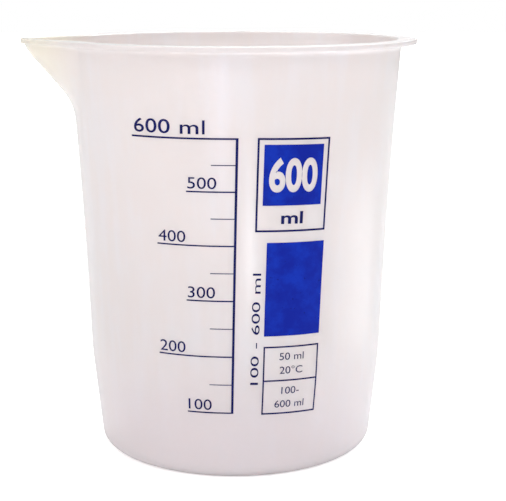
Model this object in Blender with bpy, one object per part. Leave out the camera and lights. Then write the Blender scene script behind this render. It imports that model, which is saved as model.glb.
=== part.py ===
"""Moulded laboratory beaker with a pouring spout and a printed scale, for Blender 4.5.

Metres, +Z up. The beaker stands on z = 0 with its axis on Z. The spout points to -X and the
printed scale faces -Y. The body is one moulding. The print is a set of separate ink films that
lie on the wall. The height follows from the rated volume, and so does each mark of the scale.
"""

import math

import bmesh
import bpy
import numpy as np

MM = 0.001
MILLILITRE = 1e-6

# Vessel: the outer wall is a steep cone up to a soft knee, then a slimmer cone that flares slowly.
KNEE_RADIUS = 45.0 * MM
KNEE_HEIGHT = 30.0 * MM
KNEE_SOFTNESS = 0.2 * MM
LOWER_TAPER = math.radians(6.1)
UPPER_TAPER = math.radians(1.75)
FLARE_RADIUS = 2000.0 * MM
WALL = 1.4 * MM
FLOOR = 2.5 * MM
BASE_CORNER_RADIUS = 3.8 * MM
INNER_CORNER_RADIUS = 3.0 * MM
HEADROOM = 24.95 * MM

# Rim flange, which narrows round the nose of the spout.
FLANGE_WIDTH = 4.6 * MM
FLANGE_THICKNESS = 1.5 * MM
FLANGE_WIDTH_AT_NOSE = 0.9 * MM
FLANGE_FILLET = 1.8 * MM
EDGE_CHAMFER = 0.45 * MM

# Spout: its ridge leaves the wall on an arc, runs out straight and turns up at the rim.
SPOUT_HEIGHT = 24.5 * MM
SPOUT_ANGLE = math.radians(38.7)
SPOUT_ROOT_RADIUS = 13.6 * MM
SPOUT_NOSE_RADIUS = 8.0 * MM
SPOUT_HALF_SPREAD = math.radians(26.0)
NOSE_ROUNDING = math.radians(6.0)
SIDE_POWER = 1.5

# Scale: marks every half step, a numeral at every whole step.
NUMERAL_STEP = 100
NUMERAL_COUNT = 6
SCALE_TURN = math.radians(0.6)
PRINT_LEAN = math.radians(1.19)
SPINE_WIDTH = 0.7 * MM
TOP_MARK_LENGTH = 29.8 * MM
LONG_MARK_LENGTH = 22.4 * MM
MEDIUM_MARK_LENGTH = 13.6 * MM
SHORT_MARK_LENGTH = 6.8 * MM
TOP_MARK_THICKNESS = 0.5 * MM
MARK_THICKNESS = 0.4 * MM
SHORT_MARK_THICKNESS = 0.25 * MM
NUMERAL_HEIGHT = 3.15 * MM
NUMERAL_STRETCH = 1.21
TOP_NUMERAL_HEIGHT = 3.85 * MM
TOP_NUMERAL_STRETCH = 1.36
NUMERAL_LIFT = 0.65 * MM
TOP_NUMERAL_LIFT = 0.95 * MM
NUMERAL_INDENT = 0.35 * MM
TOP_NUMERAL_INDENT = 0.9 * MM

# Panel right of the scale: a frame with a square, a solid patch and a box of two cells.
PANEL_TILT = math.radians(1.6)
FRAME_LEFT = 5.35 * MM
FRAME_WIDTH = 20.7 * MM
FRAME_LINE = 0.55 * MM
SQUARE_MARGIN = 1.3 * MM
LETTER_BAND = 6.9 * MM
PANEL_GAP = 3.05 * MM
PATCH_WIDTH = 17.3 * MM
BOX_HEIGHT = 20.45 * MM
BOX_LINE = 0.45 * MM
BOX_DROP = 0.6 * MM
SQUARE_NUMERAL_HEIGHT = 8.4 * MM
SQUARE_NUMERAL_MARGIN = 1.5 * MM
SQUARE_NUMERAL_BOLDNESS = 0.035
PANEL_LETTER_HEIGHT = 3.3 * MM
PANEL_LETTER_STRETCH = 1.45
PANEL_LETTER_BOLDNESS = 0.02
BOX_LETTER_HEIGHT = 2.1 * MM
BOX_LETTER_STRETCH = 1.15
BOX_ROW_DRAW = 0.1
BOX_LINES = ("50 ml", "20°C", "100-", "600 ml")

# Line of figures that reads upwards beside the panel, between two marks of the scale.
SIDE_LINE = "100 - 600 ml"
SIDE_LINE_HEIGHT = 2.3 * MM
SIDE_LINE_GAP = 1.35 * MM
SIDE_LINE_FIRST_MARK = 3
SIDE_LINE_LAST_MARK = 7

# Ink: a film that lies a small clearance off the wall.
INK_CLEARANCE = 0.3 * MM
INK_THICKNESS = 0.15 * MM
INK_FACET = 3.0 * MM
INK_FACET_HEIGHT = 12.0 * MM
LETTER_STEPS = 2
BOX_LETTER_STEPS = 1
WELD = 0.002 * MM

# Mesh density of the vessel: the closely spaced columns span a little more than the spout.
SPOUT_FAN = 1.15
SPOUT_SEGMENTS = 28
ROUND_SEGMENTS = 44
SPOUT_RINGS = 9
CORNER_RINGS = 4
KNEE_REACH = 5.0 * MM
FILL_LEVELS = 20000

BODY_COLOUR = (0.80, 0.74, 0.745)
BODY_ROUGHNESS = 0.35
LINE_INK_COLOUR = (0.014, 0.018, 0.130)
SOLID_INK_COLOUR = (0.010, 0.048, 0.480)
INK_ROUGHNESS = 0.4


def wall_radius(height):
    """Outer radius of the plain wall: the smooth minimum of the lower cone and the flaring upper one."""
    rise = np.asarray(height, dtype=float) - KNEE_HEIGHT
    lower = KNEE_RADIUS + math.tan(LOWER_TAPER) * rise
    upper = KNEE_RADIUS + math.tan(UPPER_TAPER) * rise + rise * rise / (2 * FLARE_RADIUS)
    return (lower + upper - np.sqrt((lower - upper) ** 2 + KNEE_SOFTNESS**2)) / 2


def corner_cut(height_above_floor, radius):
    """How far a rounded bottom corner draws the wall in at a height above its floor."""
    left = np.clip(radius - height_above_floor, 0, radius)
    return radius - np.sqrt(radius * radius - left * left)


def fill_height(volume):
    """Height of the liquid's surface when the plain bowl holds a volume."""
    heights = np.linspace(FLOOR, FLOOR + 10 * KNEE_RADIUS, FILL_LEVELS)
    outer = wall_radius(heights)
    slope = np.gradient(outer, heights)
    inner = outer - WALL * np.sqrt(1 + slope * slope) - corner_cut(heights - FLOOR, INNER_CORNER_RADIUS)
    area = math.pi * inner * inner
    held = np.concatenate([[0.0], np.cumsum((area[1:] + area[:-1]) / 2 * np.diff(heights))])
    return float(np.interp(volume, held, heights))


def mark_height(step):
    """Height of the scale's mark at a number of half steps."""
    return fill_height(step * NUMERAL_STEP / 2 * MILLILITRE)


# Heights that follow from the rated volume.
FIRST_MARK = 2
TOP_MARK = 2 * NUMERAL_COUNT
SCALE_BOTTOM = mark_height(FIRST_MARK)
SCALE_TOP = mark_height(TOP_MARK)
BODY_HEIGHT = SCALE_TOP + HEADROOM
SPOUT_BOTTOM = BODY_HEIGHT - SPOUT_HEIGHT
PRINT_RADIUS = float(wall_radius((SCALE_TOP + SCALE_BOTTOM) / 2))


def spout_depth(height):
    """How far the spout's ridge stands out from the wall: root arc, straight run, nose arc."""
    sine, cosine = math.sin(SPOUT_ANGLE), math.cos(SPOUT_ANGLE)
    root_rise, nose_rise = SPOUT_ROOT_RADIUS * sine, SPOUT_NOSE_RADIUS * sine
    straight_rise = SPOUT_HEIGHT - root_rise - nose_rise
    root_depth = SPOUT_ROOT_RADIUS * (1 - cosine)
    run_depth = root_depth + straight_rise * math.tan(SPOUT_ANGLE)
    full_depth = run_depth + SPOUT_NOSE_RADIUS * (1 - cosine)
    up = np.clip(np.asarray(height, dtype=float) - SPOUT_BOTTOM, 0, SPOUT_HEIGHT)
    root = SPOUT_ROOT_RADIUS - np.sqrt(np.maximum(SPOUT_ROOT_RADIUS**2 - up * up, 0))
    run = root_depth + (up - root_rise) * math.tan(SPOUT_ANGLE)
    down = SPOUT_HEIGHT - up
    nose = full_depth - SPOUT_NOSE_RADIUS + np.sqrt(np.maximum(SPOUT_NOSE_RADIUS**2 - down * down, 0))
    return np.where(up < root_rise, root, np.where(down > nose_rise, run, nose))


def spout_share(turn):
    """Share of the depth at an angle from the ridge: near-flat sides that meet in a rounded nose."""
    rounded = np.sqrt(turn * turn + NOSE_ROUNDING**2) - NOSE_ROUNDING
    at_fold = math.hypot(SPOUT_HALF_SPREAD, NOSE_ROUNDING) - NOSE_ROUNDING
    return np.clip(1 - rounded / at_fold, 0, 1) ** SIDE_POWER


def outer_radius(turn, height):
    """Outer radius of the vessel without its flange, at an angle from the spout's ridge."""
    return wall_radius(height) + spout_depth(height) * spout_share(turn)


def inner_radius(turn, height):
    """Inner radius: the outer surface moved in by the wall, measured square to the surface."""
    small_rise, small_turn = 0.05 * MM, math.radians(0.05)
    here = outer_radius(turn, height)
    rise_change = outer_radius(turn, height + small_rise) - outer_radius(turn, height - small_rise)
    turn_change = outer_radius(turn + small_turn, height) - outer_radius(turn - small_turn, height)
    rise_slope = rise_change / (2 * small_rise)
    turn_slope = turn_change / (2 * small_turn * here)
    return here - WALL * np.sqrt(1 + rise_slope**2 + turn_slope**2)


def flange_width(turn):
    """Width of the flange, which eases from its width at the nose to its full width at the folds."""
    share = np.clip(np.abs(turn) / SPOUT_HALF_SPREAD, 0, 1)
    ease = share * share * (3 - 2 * share)
    return FLANGE_WIDTH_AT_NOSE + (FLANGE_WIDTH - FLANGE_WIDTH_AT_NOSE) * ease


def ring_turns():
    """Angles of a ring's points from the spout's ridge, closer together across the spout."""
    edge = SPOUT_FAN * SPOUT_HALF_SPREAD
    spout = np.linspace(-edge, edge, SPOUT_SEGMENTS, endpoint=False)
    round_side = np.linspace(edge, 2 * math.pi - edge, ROUND_SEGMENTS, endpoint=False)
    turns = np.concatenate([spout, round_side])
    return np.where(turns > math.pi, turns - 2 * math.pi, turns)


def wall_heights(bottom, top):
    """Heights of the rings between two levels, closer together at the knee and over the spout."""
    knee = np.linspace(KNEE_HEIGHT - KNEE_REACH, KNEE_HEIGHT + KNEE_REACH, 3)
    middle = np.linspace(KNEE_HEIGHT + KNEE_REACH, SPOUT_BOTTOM, 4)
    spout = np.linspace(SPOUT_BOTTOM, top, SPOUT_RINGS)
    levels = np.unique(np.round(np.concatenate([[bottom], knee, middle, spout]), 9))
    return levels[(levels >= bottom) & (levels <= top)]


def corner_levels(radius):
    """Heights of the rings that round a bottom corner, up to its tangent point."""
    angles = np.linspace(0, math.pi / 2, CORNER_RINGS)
    return radius * (1 - np.cos(angles))


def outer_rings(turns):
    """(radius, height) of each ring from the base up to the flange's upper edge."""
    flange_under = BODY_HEIGHT - FLANGE_THICKNESS
    fillet_bottom = flange_under - FLANGE_FILLET
    rings = []
    for level in corner_levels(BASE_CORNER_RADIUS):
        rings.append((outer_radius(turns, level) - corner_cut(level, BASE_CORNER_RADIUS), level))
    for level in wall_heights(BASE_CORNER_RADIUS, fillet_bottom)[1:]:
        rings.append((outer_radius(turns, level), level))
    width = flange_width(turns)
    fillet_share = FLANGE_FILLET / FLANGE_WIDTH
    for angle in np.linspace(0, math.pi / 2, 3)[1:]:
        level = fillet_bottom + FLANGE_FILLET * math.sin(angle)
        rings.append((outer_radius(turns, level) + width * fillet_share * (1 - math.cos(angle)), level))
    edge = outer_radius(turns, BODY_HEIGHT) + width
    inset = EDGE_CHAMFER / FLANGE_WIDTH * width
    rings.append((edge - inset, flange_under))
    rings.append((edge, flange_under + EDGE_CHAMFER))
    rings.append((edge, BODY_HEIGHT - EDGE_CHAMFER))
    rings.append((edge - inset, BODY_HEIGHT))
    return rings


def inner_rings(turns):
    """(radius, height) of each ring from the flange's inner edge down to the floor."""
    rings = [(inner_radius(turns, BODY_HEIGHT) + EDGE_CHAMFER, BODY_HEIGHT)]
    corner_top = FLOOR + INNER_CORNER_RADIUS
    for level in wall_heights(corner_top, BODY_HEIGHT - EDGE_CHAMFER)[::-1]:
        rings.append((inner_radius(turns, level), level))
    for rise in corner_levels(INNER_CORNER_RADIUS)[-2::-1]:
        level = FLOOR + rise
        rings.append((inner_radius(turns, level) - corner_cut(rise, INNER_CORNER_RADIUS), level))
    return rings


def add_object(name, vertices, faces, colour, roughness):
    """Makes a mesh object with its own plain material."""
    mesh = bpy.data.meshes.new(name)
    mesh.from_pydata([tuple(vertex) for vertex in vertices], [], faces)
    mesh.validate()
    material = bpy.data.materials.new(name + "_finish")
    material.use_nodes = True
    shader = material.node_tree.nodes["Principled BSDF"]
    shader.inputs["Base Color"].default_value = (*colour, 1.0)
    shader.inputs["Roughness"].default_value = roughness
    shader.inputs["Metallic"].default_value = 0.0
    mesh.materials.append(material)
    mesh.shade_smooth()
    mesh.set_sharp_from_angle(angle=math.radians(30))
    made = bpy.data.objects.new(name, mesh)
    bpy.context.scene.collection.objects.link(made)
    return made


def build_body():
    """The moulding: rings skinned with quads, closed by a fan under the base and one on the floor."""
    turns = ring_turns()
    count = len(turns)
    directions = np.stack([-np.cos(turns), -np.sin(turns)], axis=1)
    vertices = []
    rings = outer_rings(turns) + inner_rings(turns)
    for radius, height in rings:
        ring = directions * np.broadcast_to(radius, (count,))[:, None]
        vertices.extend((x, y, height) for x, y in ring)
    faces = []
    for ring in range(len(rings) - 1):
        for point in range(count):
            following = (point + 1) % count
            low, high = ring * count, (ring + 1) * count
            faces.append((low + point, low + following, high + following, high + point))
    base_centre, floor_centre = len(vertices), len(vertices) + 1
    vertices.append((0.0, 0.0, 0.0))
    vertices.append((0.0, 0.0, FLOOR))
    last = (len(rings) - 1) * count
    for point in range(count):
        following = (point + 1) % count
        faces.append((base_centre, following, point))
        faces.append((last + point, last + following, floor_centre))
    return add_object("beaker_body", vertices, faces, BODY_COLOUR, BODY_ROUGHNESS)


def islands(sheet):
    """Splits a flat bmesh into its separate shapes, left to right, as (vertices, faces) each."""
    parts = []
    unseen = set(sheet.faces)
    while unseen:
        front = [unseen.pop()]
        members = list(front)
        while front:
            near = {other for edge in front.pop().edges for other in edge.link_faces} & unseen
            unseen -= near
            front.extend(near)
            members.extend(near)
        corners = sorted({vertex for face in members for vertex in face.verts}, key=lambda v: v.index)
        place = {vertex: number for number, vertex in enumerate(corners)}
        members.sort(key=lambda face: face.index)
        flat = np.array([vertex.co[:2] for vertex in corners])
        parts.append((flat, [tuple(place[vertex] for vertex in face.verts) for face in members]))
    return sorted(parts, key=lambda part: part[0][:, 0].min())


def lettering_sheet(text, steps, boldness):
    """Flat bmesh of a line of print at the font's own size, its left end at x = 0."""
    curve = bpy.data.curves.new("lettering", "FONT")
    curve.body = text
    curve.resolution_u = steps
    curve.render_resolution_u = steps
    curve.offset = boldness
    lettering = bpy.data.objects.new("lettering", curve)
    bpy.context.scene.collection.objects.link(lettering)
    depsgraph = bpy.context.evaluated_depsgraph_get()
    mesh = bpy.data.meshes.new_from_object(lettering.evaluated_get(depsgraph))
    bpy.data.objects.remove(lettering)
    sheet = bmesh.new()
    sheet.from_mesh(mesh)
    left = min(vertex.co.x for vertex in sheet.verts)
    bmesh.ops.translate(sheet, verts=sheet.verts, vec=(-left, 0, 0))
    return sheet


def font_digit_height():
    """Height of a digit at the font's own size."""
    sheet = lettering_sheet("1", 1, 0)
    heights = [vertex.co.y for vertex in sheet.verts]
    sheet.free()
    return max(heights) - min(heights)


def print_line(text, digit_height, steps=LETTER_STEPS, boldness=0.0, stretch=1.0, width=None):
    """The flat shapes of a line of print, left to right: a digit's height, and a stretch or a whole width."""
    sheet = lettering_sheet(text, steps, boldness)
    scale = digit_height / font_digit_height()
    if width is not None:
        stretch = width / (scale * max(vertex.co.x for vertex in sheet.verts))
    bmesh.ops.scale(sheet, verts=sheet.verts, vec=(scale * stretch, scale, scale))
    bmesh.ops.remove_doubles(sheet, verts=sheet.verts, dist=WELD)
    sheet.verts.index_update()
    sheet.faces.index_update()
    shapes = islands(sheet)
    sheet.free()
    return shapes


def line_width(shapes):
    """Width of a line of print."""
    return max(flat[:, 0].max() for flat, _ in shapes)


def cell_sheet(columns, rows, is_inked):
    """Flat shape made of the inked cells between sorted column and row lines."""
    columns, rows = sorted(set(columns)), sorted(set(rows))
    flat = np.array([(column, row) for row in rows for column in columns])
    width = len(columns)
    faces = []
    for row in range(len(rows) - 1):
        for column in range(width - 1):
            middle = (columns[column] + columns[column + 1]) / 2, (rows[row] + rows[row + 1]) / 2
            if is_inked(*middle):
                low = row * width + column
                faces.append((low, low + 1, low + width + 1, low + width))
    return flat, faces


def inside(box, across, up):
    """Whether a point lies in a (left, bottom, right, top) box."""
    left, bottom, right, top = box
    return left < across < right and bottom < up < top


def shrunk(box, margin):
    """A box drawn in by a margin on each side."""
    left, bottom, right, top = box
    return left + margin, bottom + margin, right - margin, top - margin


def cut_for_wrapping(flat, faces):
    """Cuts a flat shape along even lines, so that it can follow the round wall."""
    sheet = bmesh.new()
    points = [sheet.verts.new((across, up, 0)) for across, up in flat]
    for face in faces:
        sheet.faces.new([points[corner] for corner in face])
    loose = [vertex for vertex in sheet.verts if not vertex.link_faces]
    bmesh.ops.delete(sheet, geom=loose, context="VERTS")
    for axis, spacing in ((0, INK_FACET), (1, INK_FACET_HEIGHT)):
        places = [vertex.co[axis] for vertex in sheet.verts]
        low, high = min(places), max(places)
        pieces = max(1, math.ceil((high - low) / spacing))
        normal = (1, 0, 0) if axis == 0 else (0, 1, 0)
        for place in np.linspace(low, high, pieces + 1)[1:-1]:
            everything = list(sheet.verts) + list(sheet.edges) + list(sheet.faces)
            spot = (place, 0, 0) if axis == 0 else (0, place, 0)
            bmesh.ops.bisect_plane(sheet, geom=everything, dist=WELD, plane_co=spot, plane_no=normal)
    sheet.verts.index_update()
    flat = np.array([vertex.co[:2] for vertex in sheet.verts])
    faces = [tuple(vertex.index for vertex in face.verts) for face in sheet.faces]
    sheet.free()
    return flat, faces


def on_wall(flat, stand_off):
    """Places flat print on the wall: across becomes an angle, with the print's lean; up is height."""
    across, up = flat[:, 0], flat[:, 1]
    leaning = across + math.tan(PRINT_LEAN) * (up - SCALE_TOP)
    turn = SCALE_TURN + leaning / PRINT_RADIUS
    radius = wall_radius(up) + stand_off
    return np.stack([radius * np.sin(turn), -radius * np.cos(turn), up], axis=1)


def add_film(name, flat, faces, colour):
    """Makes one ink film: the flat shape wrapped twice, a film's thickness apart, with closed edges."""
    flat, faces = cut_for_wrapping(flat, faces)
    count = len(flat)
    lower = on_wall(flat, INK_CLEARANCE)
    upper = on_wall(flat, INK_CLEARANCE + INK_THICKNESS)
    skin = [tuple(corner + count for corner in face) for face in faces]
    back = [tuple(reversed(face)) for face in faces]
    directed = {(face[at - 1], face[at]) for face in faces for at in range(len(face))}
    rim = sorted(edge for edge in directed if edge[::-1] not in directed)
    sides = [(start, end, end + count, start + count) for start, end in rim]
    return add_object(name, np.vstack([lower, upper]), skin + back + sides, colour, INK_ROUGHNESS)


def tilted(flat):
    """Tilts print of the panel: each point drops with its distance from the frame's left edge."""
    across, up = flat[:, 0], flat[:, 1]
    return np.stack([across, up - math.tan(PANEL_TILT) * (across - FRAME_LEFT)], axis=1)


def mark_style(step):
    """(length, thickness) of the mark at a number of half steps."""
    if step == TOP_MARK:
        return TOP_MARK_LENGTH, TOP_MARK_THICKNESS
    if step % 4 == 0:
        return LONG_MARK_LENGTH, MARK_THICKNESS
    if step % 2 == 0:
        return MEDIUM_MARK_LENGTH, MARK_THICKNESS
    return SHORT_MARK_LENGTH, SHORT_MARK_THICKNESS


def build_ladder():
    """The scale's upright line with all its marks, printed as one film."""
    spine_right = SPINE_WIDTH / 2
    marks = []
    for step in range(FIRST_MARK, TOP_MARK + 1):
        length, thickness = mark_style(step)
        middle = mark_height(step)
        marks.append((-length, middle - thickness / 2, spine_right, middle + thickness / 2))
    spine = (-spine_right, marks[0][1], spine_right, marks[-1][3])
    boxes = marks + [spine]
    columns = [side for box in boxes for side in (box[0], box[2])]
    rows = [side for box in boxes for side in (box[1], box[3])]
    flat, faces = cell_sheet(columns, rows, lambda across, up: any(inside(box, across, up) for box in boxes))
    add_film("graduation_ladder", flat, faces, LINE_INK_COLOUR)


def build_numerals():
    """The numeral of each whole step, standing on its mark, with the unit after the top one."""
    for number in range(1, NUMERAL_COUNT + 1):
        is_top = number == NUMERAL_COUNT
        length, thickness = mark_style(2 * number)
        indent, lift = (TOP_NUMERAL_INDENT, TOP_NUMERAL_LIFT) if is_top else (NUMERAL_INDENT, NUMERAL_LIFT)
        height = TOP_NUMERAL_HEIGHT if is_top else NUMERAL_HEIGHT
        label = str(number * NUMERAL_STEP)
        stretch = TOP_NUMERAL_STRETCH if is_top else NUMERAL_STRETCH
        text = label + " ml" if is_top else label
        shapes = print_line(text, height, stretch=stretch)
        corner = np.array([indent - length, mark_height(2 * number) + thickness / 2 + lift])
        for place, (flat, faces) in enumerate(shapes, start=1):
            name = f"mark_{number}_digit_{place}"
            if place > len(label):
                name = f"unit_letter_{place - len(label)}"
            add_film(name, flat + corner, faces, LINE_INK_COLOUR)


def frame_box():
    """The panel frame's outer edges: its top lines up with the top mark's upper edge."""
    top = SCALE_TOP + TOP_MARK_THICKNESS / 2
    square_side = FRAME_WIDTH - 2 * (FRAME_LINE + SQUARE_MARGIN)
    height = 2 * FRAME_LINE + SQUARE_MARGIN + square_side + LETTER_BAND
    return FRAME_LEFT, top - height, FRAME_LEFT + FRAME_WIDTH, top


def square_box():
    """The square's edges, a margin inside the frame at the top and at both sides."""
    left, _, right, top = shrunk(frame_box(), FRAME_LINE + SQUARE_MARGIN)
    return left, top - (right - left), right, top


def data_box():
    """The two-celled box's outer edges: under the frame's right side, a little below the first mark."""
    right = frame_box()[2]
    bottom = SCALE_BOTTOM - BOX_DROP
    return right - PATCH_WIDTH, bottom, right, bottom + BOX_HEIGHT


def patch_box():
    """The solid patch's edges: it fills the height between the frame and the box."""
    left, _, right, box_top = data_box()
    return left, box_top + PANEL_GAP, right, frame_box()[1] - PANEL_GAP


def build_outline(name, box, line, dividers=()):
    """An open frame, with any level dividers inside it."""
    opening = shrunk(box, line)
    bars = [(box[0], middle - line / 2, box[2], middle + line / 2) for middle in dividers]
    columns = [box[0], opening[0], opening[2], box[2]]
    rows = [box[1], opening[1], opening[3], box[3]]
    rows += [side for bar in bars for side in (bar[1], bar[3])]

    def is_inked(across, up):
        return not inside(opening, across, up) or any(inside(bar, across, up) for bar in bars)

    flat, faces = cell_sheet(columns, rows, is_inked)
    add_film(name, tilted(flat), faces, LINE_INK_COLOUR)


def build_square():
    """The square with a number left open in it. The loops of the number's digits are films of their own."""
    left, bottom, right, top = square_box()
    text = str(NUMERAL_STEP * NUMERAL_COUNT)
    width = right - left - 2 * SQUARE_NUMERAL_MARGIN
    shapes = print_line(text, SQUARE_NUMERAL_HEIGHT, boldness=SQUARE_NUMERAL_BOLDNESS, width=width)
    corner = np.array([(left + right - line_width(shapes)) / 2, (bottom + top - SQUARE_NUMERAL_HEIGHT) / 2])
    sheet = bmesh.new()
    corners = ((left, bottom), (right, bottom), (right, top), (left, top))
    outline = [sheet.verts.new((*point, 0)) for point in corners]
    for at in range(len(outline)):
        sheet.edges.new((outline[at - 1], outline[at]))
    for flat, faces in shapes:
        points = [sheet.verts.new((*(point + corner), 0)) for point in flat]
        directed = {(face[at - 1], face[at]) for face in faces for at in range(len(face))}
        for start, end in sorted(edge for edge in directed if edge[::-1] not in directed):
            sheet.edges.new((points[start], points[end]))
    bmesh.ops.triangle_fill(sheet, use_beauty=True, edges=sheet.edges, normal=(0, 0, 1))
    bmesh.ops.recalc_face_normals(sheet, faces=sheet.faces)
    if sheet.faces[:][0].normal.z < 0:
        bmesh.ops.reverse_faces(sheet, faces=sheet.faces)
    sheet.verts.index_update()
    sheet.faces.index_update()
    parts = islands(sheet)
    sheet.free()
    add_film("panel_square", tilted(parts[0][0]), parts[0][1], SOLID_INK_COLOUR)
    for place, (flat, faces) in enumerate(parts[1:], start=1):
        add_film(f"number_loop_{place}", tilted(flat), faces, SOLID_INK_COLOUR)


def build_panel_letters():
    """The unit under the square, in the middle of the frame's lower band."""
    left, frame_bottom, right, _ = shrunk(frame_box(), FRAME_LINE)
    band_top = square_box()[1]
    boldness, stretch = PANEL_LETTER_BOLDNESS, PANEL_LETTER_STRETCH
    shapes = print_line("ml", PANEL_LETTER_HEIGHT, boldness=boldness, stretch=stretch)
    across = (left + right - line_width(shapes)) / 2
    up = (frame_bottom + band_top - PANEL_LETTER_HEIGHT) / 2
    for place, (flat, faces) in enumerate(shapes, start=1):
        lettered = tilted(flat + np.array([across, up]))
        add_film(f"panel_letter_{place}", lettered, faces, LINE_INK_COLOUR)


def build_side_line():
    """The line of figures left of the box: it reads upwards, with its foot towards the box."""
    bottom = mark_height(SIDE_LINE_FIRST_MARK)
    length = mark_height(SIDE_LINE_LAST_MARK) - bottom
    foot = data_box()[0] - SIDE_LINE_GAP
    shapes = print_line(SIDE_LINE, SIDE_LINE_HEIGHT, width=length)
    for place, (flat, faces) in enumerate(shapes, start=1):
        upright = np.stack([foot - flat[:, 1], bottom + flat[:, 0]], axis=1)
        add_film(f"side_line_character_{place}", tilted(upright), faces, LINE_INK_COLOUR)


def build_box_lines():
    """Four short lines of plain figures, two in each cell of the box."""
    left, bottom, right, top = data_box()
    rows = len(BOX_LINES)
    pitch = (top - bottom) / rows
    for row, text in enumerate(BOX_LINES):
        shapes = print_line(text, BOX_LETTER_HEIGHT, steps=BOX_LETTER_STEPS, stretch=BOX_LETTER_STRETCH)
        across = (left + right - line_width(shapes)) / 2
        towards_middle = BOX_ROW_DRAW * pitch * (-1 if row % 2 == 0 else 1)
        up = top - (row + 0.5) * pitch - BOX_LETTER_HEIGHT / 2 + towards_middle
        for place, (flat, faces) in enumerate(shapes, start=1):
            name = f"data_line_{row + 1}_character_{place}"
            add_film(name, tilted(flat + np.array([across, up])), faces, LINE_INK_COLOUR)


def build_panel():
    """Everything printed right of the scale."""
    build_outline("panel_frame", frame_box(), FRAME_LINE)
    build_square()
    build_panel_letters()
    left, bottom, right, top = patch_box()
    flat, faces = cell_sheet([left, right], [bottom, top], lambda across, up: True)
    add_film("marking_patch", tilted(flat), faces, SOLID_INK_COLOUR)
    box = data_box()
    build_outline("data_box", box, BOX_LINE, dividers=[(box[1] + box[3]) / 2])
    build_box_lines()
    build_side_line()


def main():
    """Builds the beaker in an empty scene."""
    for old in list(bpy.data.objects):
        bpy.data.objects.remove(old)
    build_body()
    build_ladder()
    build_numerals()
    build_panel()
    print(f"height {BODY_HEIGHT / MM:.2f} mm, marks from {SCALE_BOTTOM / MM:.2f} to {SCALE_TOP / MM:.2f} mm")


main()
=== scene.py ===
"""Looks of the moulded laboratory beaker: a milky plastic vessel with a printed blue scale.

Metres, +Z up. The bowl's axis is Z, the spout points to -X and the print faces -Y. Heights and
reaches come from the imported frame; the shape of the wall between them is worked out here.
"""

import logging
import math
from dataclasses import dataclass, field
from enum import Enum

import bmesh
import bpy
import numpy as np
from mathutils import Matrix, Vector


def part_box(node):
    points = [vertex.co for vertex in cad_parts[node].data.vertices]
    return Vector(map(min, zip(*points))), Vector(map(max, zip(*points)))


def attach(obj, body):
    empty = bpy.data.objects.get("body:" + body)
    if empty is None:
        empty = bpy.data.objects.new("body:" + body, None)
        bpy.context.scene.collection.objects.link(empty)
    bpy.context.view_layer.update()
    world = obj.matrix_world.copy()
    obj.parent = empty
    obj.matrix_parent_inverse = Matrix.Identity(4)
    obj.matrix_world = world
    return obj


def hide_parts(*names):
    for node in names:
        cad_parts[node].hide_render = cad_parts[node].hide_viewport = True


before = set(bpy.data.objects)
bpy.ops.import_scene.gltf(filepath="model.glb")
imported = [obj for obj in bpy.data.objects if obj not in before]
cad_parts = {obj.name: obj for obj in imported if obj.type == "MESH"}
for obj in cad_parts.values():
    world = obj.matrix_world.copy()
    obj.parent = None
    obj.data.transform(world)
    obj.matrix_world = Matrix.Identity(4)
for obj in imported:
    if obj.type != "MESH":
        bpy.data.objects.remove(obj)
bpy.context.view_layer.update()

logging.basicConfig(level=logging.INFO, format="%(message)s")
log = logging.getLogger("beaker")

MM = 0.001
ROOT = "root"
SHARP_ANGLE = math.radians(40)

Array = np.ndarray
Colour = tuple[float, float, float]
FlatShape = tuple[Array, list[tuple[int, ...]]]


# ---------------------------------------------------------------------------------------------
# Node helpers
# ---------------------------------------------------------------------------------------------


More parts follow.
